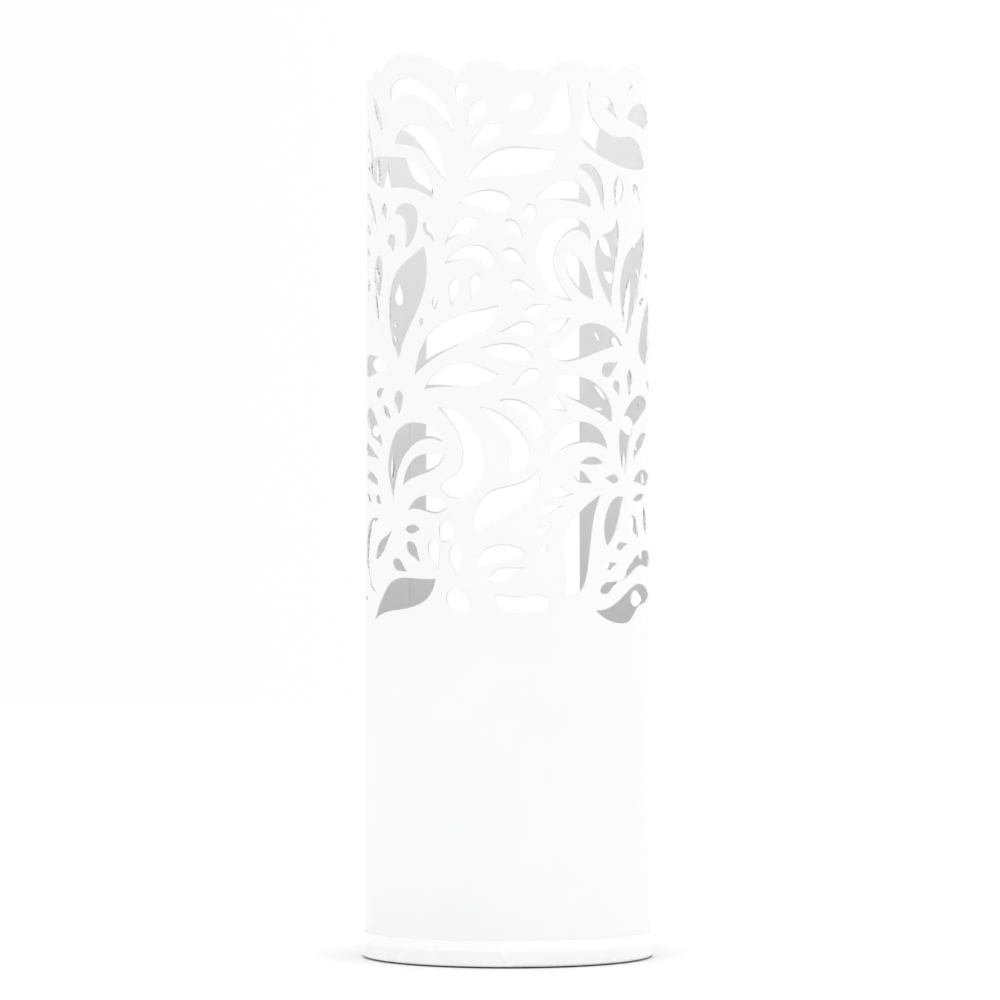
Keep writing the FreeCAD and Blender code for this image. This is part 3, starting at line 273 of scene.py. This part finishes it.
def make_skin_group():
    """The skin of a coated or moulded surface: fine and broad noise added for its height, and a slow drift
    of tone. Inputs: grains per metre of the fine noise, and the share that the broad noise has."""
    tree, inside, out = new_group("surface_skin", [("Grain", 900.0), ("Broad", 0.6)], ["Height", "Tone"])
    link = tree.links.new
    fine = node(tree, "ShaderNodeTexNoise", Detail=2.0, Roughness=0.55)
    broad_scale = node(tree, "ShaderNodeMath", operation="MULTIPLY")
    broad_scale.inputs[1].default_value = BROAD_GRAIN
    broad = node(tree, "ShaderNodeTexNoise", Detail=1.0, Roughness=0.5)
    blend = node(tree, "ShaderNodeMath", operation="MULTIPLY_ADD")
    drift = node(tree, "ShaderNodeTexNoise", Scale=14.0, Detail=2.0, Roughness=0.5)
    link(inside.outputs["Place"], fine.inputs["Vector"])
    link(inside.outputs["Place"], broad.inputs["Vector"])
    link(inside.outputs["Place"], drift.inputs["Vector"])
    link(inside.outputs["Grain"], fine.inputs["Scale"])
    link(inside.outputs["Grain"], broad_scale.inputs[0])
    link(broad_scale.outputs[0], broad.inputs["Scale"])
    link(broad.outputs["Fac"], blend.inputs[0])
    link(inside.outputs["Broad"], blend.inputs[1])
    link(fine.outputs["Fac"], blend.inputs[2])
    link(blend.outputs[0], out.inputs["Height"])
    link(drift.outputs["Fac"], out.inputs["Tone"])
    return tree


def make_dust_group():
    """Fine settled dust on what faces up: the upward part of the normal times a speckled noise."""
    tree, inside, out = new_group("settled_dust", [("Amount", 0.3)], ["Dust"])
    link = tree.links.new
    facing = tree.nodes.new("ShaderNodeNewGeometry")
    parts = tree.nodes.new("ShaderNodeSeparateXYZ")
    up = ramp(tree, 0.6, 1.0, 0.0, 1.0)
    speck = node(tree, "ShaderNodeTexNoise", Scale=420.0, Detail=4.0, Roughness=0.65)
    spread = ramp(tree, 0.42, 0.72, 0.0, 1.0)
    both = node(tree, "ShaderNodeMath", operation="MULTIPLY")
    scaled = node(tree, "ShaderNodeMath", operation="MULTIPLY")
    link(facing.outputs["Normal"], parts.inputs[0])
    link(parts.outputs["Z"], up.inputs["Value"])
    link(inside.outputs["Place"], speck.inputs["Vector"])
    link(speck.outputs["Fac"], spread.inputs["Value"])
    link(up.outputs[0], both.inputs[0])
    link(spread.outputs[0], both.inputs[1])
    link(both.outputs[0], scaled.inputs[0])
    link(inside.outputs["Amount"], scaled.inputs[1])
    link(scaled.outputs[0], out.inputs["Dust"])
    return tree


SKIN = make_skin_group()
DUST = make_dust_group()


def new_material(name):
    """A material with its shader, its tree and the Object coordinates."""
    made = bpy.data.materials.new(name)
    made.use_nodes = True
    tree = made.node_tree
    shader = tree.nodes["Principled BSDF"]
    place = tree.nodes.new("ShaderNodeTexCoord").outputs["Object"]
    return made, tree, shader, place


def placed_group(tree, group, place, **values):
    """A shader group with its coordinates and its values."""
    made = tree.nodes.new("ShaderNodeGroup")
    made.node_tree = group
    tree.links.new(place, made.inputs["Place"])
    for key, value in values.items():
        made.inputs[key].default_value = value
    return made


def colour_between(tree, factor, dark, light):
    """A colour that runs from dark to light with the factor."""
    mix = tree.nodes.new("ShaderNodeMix")
    mix.data_type = "RGBA"
    mix.inputs["A"].default_value = (*dark, 1)
    mix.inputs["B"].default_value = (*light, 1)
    tree.links.new(factor, mix.inputs["Factor"])
    return mix.outputs["Result"]


def bumped(tree, height, shader, depth):
    """A Bump node of that depth in metres on the shader's Normal."""
    bump = tree.nodes.new("ShaderNodeBump")
    bump.inputs["Strength"].default_value = 1.0
    bump.inputs["Distance"].default_value = depth
    tree.links.new(height, bump.inputs["Height"])
    tree.links.new(bump.outputs["Normal"], shader.inputs["Normal"])
    return bump


def coated_or_moulded(name, dark, light, grain, broad, depth, smooth, rough, sheen_coat=0.0, dust=0.25):
    """A painted or moulded finish: the skin's height into a bump, its drift of tone into colour and
    roughness, and dust on top."""
    made, tree, shader, place = new_material(name)
    skin = placed_group(tree, SKIN, place, Grain=grain, Broad=broad)
    settled = placed_group(tree, DUST, place, Amount=dust)
    drift = ramp(tree, 0.3, 0.7, 0.0, 1.0)
    tree.links.new(skin.outputs["Tone"], drift.inputs["Value"])
    base = colour_between(tree, drift.outputs[0], dark, light)
    dusty = tree.nodes.new("ShaderNodeMix")
    dusty.data_type = "RGBA"
    dusty.inputs["B"].default_value = DUST_COLOUR
    tree.links.new(settled.outputs["Dust"], dusty.inputs["Factor"])
    tree.links.new(base, dusty.inputs["A"])
    tree.links.new(dusty.outputs["Result"], shader.inputs["Base Color"])
    gloss = ramp(tree, 0.3, 0.7, smooth, rough)
    tree.links.new(skin.outputs["Tone"], gloss.inputs["Value"])
    tree.links.new(gloss.outputs[0], shader.inputs["Roughness"])
    shader.inputs["Coat Weight"].default_value = sheen_coat
    shader.inputs["Coat Roughness"].default_value = COAT_ROUGHNESS
    bumped(tree, skin.outputs["Height"], shader, depth)
    return made


def zinc_plate(name, tint, turned):
    """Zinc plate: a cloudy spangle in its tone, and fine lines in its bump, level ones if turned."""
    made, tree, shader, place = new_material(name)
    link = tree.links.new
    shader.inputs["Metallic"].default_value = 1.0
    cloud = node(tree, "ShaderNodeTexVoronoi", Scale=95.0)
    grain = node(tree, "ShaderNodeTexNoise", Scale=260.0, Detail=5.0, Roughness=0.6)
    link(place, cloud.inputs["Vector"])
    link(place, grain.inputs["Vector"])
    spangle = tree.nodes.new("ShaderNodeSeparateColor")
    link(cloud.outputs["Color"], spangle.inputs[0])
    dark = tuple(SPANGLE_DARK * value for value in tint)
    link(colour_between(tree, spangle.outputs[0], dark, tint), shader.inputs["Base Color"])
    gloss = ramp(tree, 0.3, 0.7, 0.28, 0.46)
    link(grain.outputs["Fac"], gloss.inputs["Value"])
    link(gloss.outputs[0], shader.inputs["Roughness"])
    lines = node(tree, "ShaderNodeTexNoise", Scale=1.0, Detail=3.0, Roughness=0.6)
    stretch = tree.nodes.new("ShaderNodeMapping")
    stretch.inputs["Scale"].default_value = TURNED_LINES if turned else DRAWN_LINES
    link(place, stretch.inputs["Vector"])
    link(stretch.outputs[0], lines.inputs["Vector"])
    bumped(tree, lines.outputs["Fac"], shader, LINE_DEPTH)
    return made


powder_coat = coated_or_moulded("white_powder_coat", (0.925, 0.927, 0.927), (0.94, 0.941, 0.939),
                                grain=850, broad=0.8, depth=0.012 * MM, smooth=0.36, rough=0.46,
                                sheen_coat=0.15)
base_plastic = coated_or_moulded("white_moulded_plastic", (0.94, 0.942, 0.943), (0.955, 0.955, 0.954),
                                 grain=420, broad=0.9, depth=0.006 * MM, smooth=0.24, rough=0.32,
                                 sheen_coat=0.2)
tray_plastic = coated_or_moulded("tray_plastic", (0.90, 0.905, 0.905), (0.92, 0.922, 0.92),
                                 grain=1500, broad=0.3, depth=0.015 * MM, smooth=0.40, rough=0.52)
foot_rubber = coated_or_moulded("foot_rubber", (0.045, 0.045, 0.047), (0.06, 0.06, 0.061),
                                grain=1900, broad=0.4, depth=0.03 * MM, smooth=0.72, rough=0.85, dust=0.0)
plate_zinc = zinc_plate("zinc_plated_steel", (0.74, 0.75, 0.765), turned=False)
fastener_zinc = zinc_plate("zinc_plated_fastener", (0.70, 0.71, 0.73), turned=True)

FINISHES = {"white_powder_coat": powder_coat, "white_moulded_plastic": base_plastic,
            "tray_plastic": tray_plastic, "foot_rubber": foot_rubber,
            "zinc_plated_steel": plate_zinc, "zinc_plated_fastener": fastener_zinc}
for subpart in frame["record"]["subparts"]:
    packed = frame["nodes"][subpart["node"]]
    packed.data.materials.clear()
    packed.data.materials.append(FINISHES[subpart["material_slot"]])

# ---------------------------------------------------------------- the wall
wall = eased_sheet("coated_wall", frame["nodes"]["wall_sheet"], powder_coat)
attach(wall, "stand")
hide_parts("wall_sheet")

packed_weld, _ = merged_triangles(frame["nodes"]["seam_weld"])
weld = weld_bead("rippled_weld", packed_weld[:, 2].min(), packed_weld[:, 2].max(), powder_coat)
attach(weld, "stand")
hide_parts("seam_weld")

# ---------------------------------------------------------------- floor, lights, camera
FLOOR = 14.0              # half the floor's width
FLOOR_COLOUR = (0.73, 0.73, 0.731, 1)
floor_mesh = bpy.data.meshes.new("studio_floor")
floor_corners = [(-FLOOR, -FLOOR, 0), (FLOOR, -FLOOR, 0), (FLOOR, FLOOR, 0), (-FLOOR, FLOOR, 0)]
floor_mesh.from_pydata(floor_corners, [], [(0, 1, 2, 3)])
floor = bpy.data.objects.new("studio_floor", floor_mesh)
bpy.context.scene.collection.objects.link(floor)
floor_paper = bpy.data.materials.new("white_paper")
floor_paper.use_nodes = True
paper_shader = floor_paper.node_tree.nodes["Principled BSDF"]
paper_shader.inputs["Base Color"].default_value = FLOOR_COLOUR
paper_shader.inputs["Roughness"].default_value = 0.9
paper_shader.inputs["Specular IOR Level"].default_value = 0.0
floor_mesh.materials.append(floor_paper)

# The studio's walls: darker towards the front, and a little darker on the left than on the right.
world = bpy.data.worlds.new("studio")
world.use_nodes = True
world_tree = world.node_tree
sky = world_tree.nodes["Background"]
sky.inputs["Color"].default_value = (1.0, 1.0, 1.0, 1)
direction = world_tree.nodes.new("ShaderNodeTexCoord").outputs["Generated"]
towards = world_tree.nodes.new("ShaderNodeSeparateXYZ")
front_to_back = ramp(world_tree, -0.9, 0.5, 0.79, 1.0)
left_to_right = ramp(world_tree, -1.0, 1.0, -0.08, 0.08)
strength = node(world_tree, "ShaderNodeMath", operation="ADD")
world_tree.links.new(direction, towards.inputs[0])
world_tree.links.new(towards.outputs["Y"], front_to_back.inputs["Value"])
world_tree.links.new(towards.outputs["X"], left_to_right.inputs["Value"])
world_tree.links.new(front_to_back.outputs[0], strength.inputs[0])
world_tree.links.new(left_to_right.outputs[0], strength.inputs[1])
world_tree.links.new(strength.outputs[0], sky.inputs["Strength"])
bpy.context.scene.world = world



def soft_sun(name, energy, width, tilt, turn):
    """A wide sun: its width, its tilt from straight down and its turn round the upright axis, in degrees."""
    light = bpy.data.lights.new(name, "SUN")
    light.energy = energy
    light.angle = math.radians(width)
    holder = bpy.data.objects.new(name, light)
    holder.rotation_euler = (math.radians(tilt), 0, math.radians(turn))
    bpy.context.scene.collection.objects.link(holder)


soft_sun("left_front_light", energy=0.16, width=32, tilt=55, turn=-25)
soft_sun("top_light", energy=1.7, width=22, tilt=2, turn=0)

LENS = 114.82
SENSOR = 36.0
CAMERA_PLACE = (0, -1.750, 0.152)
CAMERA_RISE = 0.058       # how far the camera looks up, per metre ahead
CAMERA_SHIFT = (-0.0076, -0.0088)
camera_data = bpy.data.cameras.new("camera")
camera_data.lens = LENS
camera_data.sensor_width = SENSOR
camera_data.shift_x, camera_data.shift_y = CAMERA_SHIFT
camera_data.clip_end = 100
camera = bpy.data.objects.new("camera", camera_data)
camera.location = CAMERA_PLACE
camera.rotation_euler = (math.radians(90) + math.atan(CAMERA_RISE), 0, 0)
bpy.context.scene.collection.objects.link(camera)
bpy.context.scene.camera = camera
bpy.context.scene.view_settings.view_transform = "Standard"
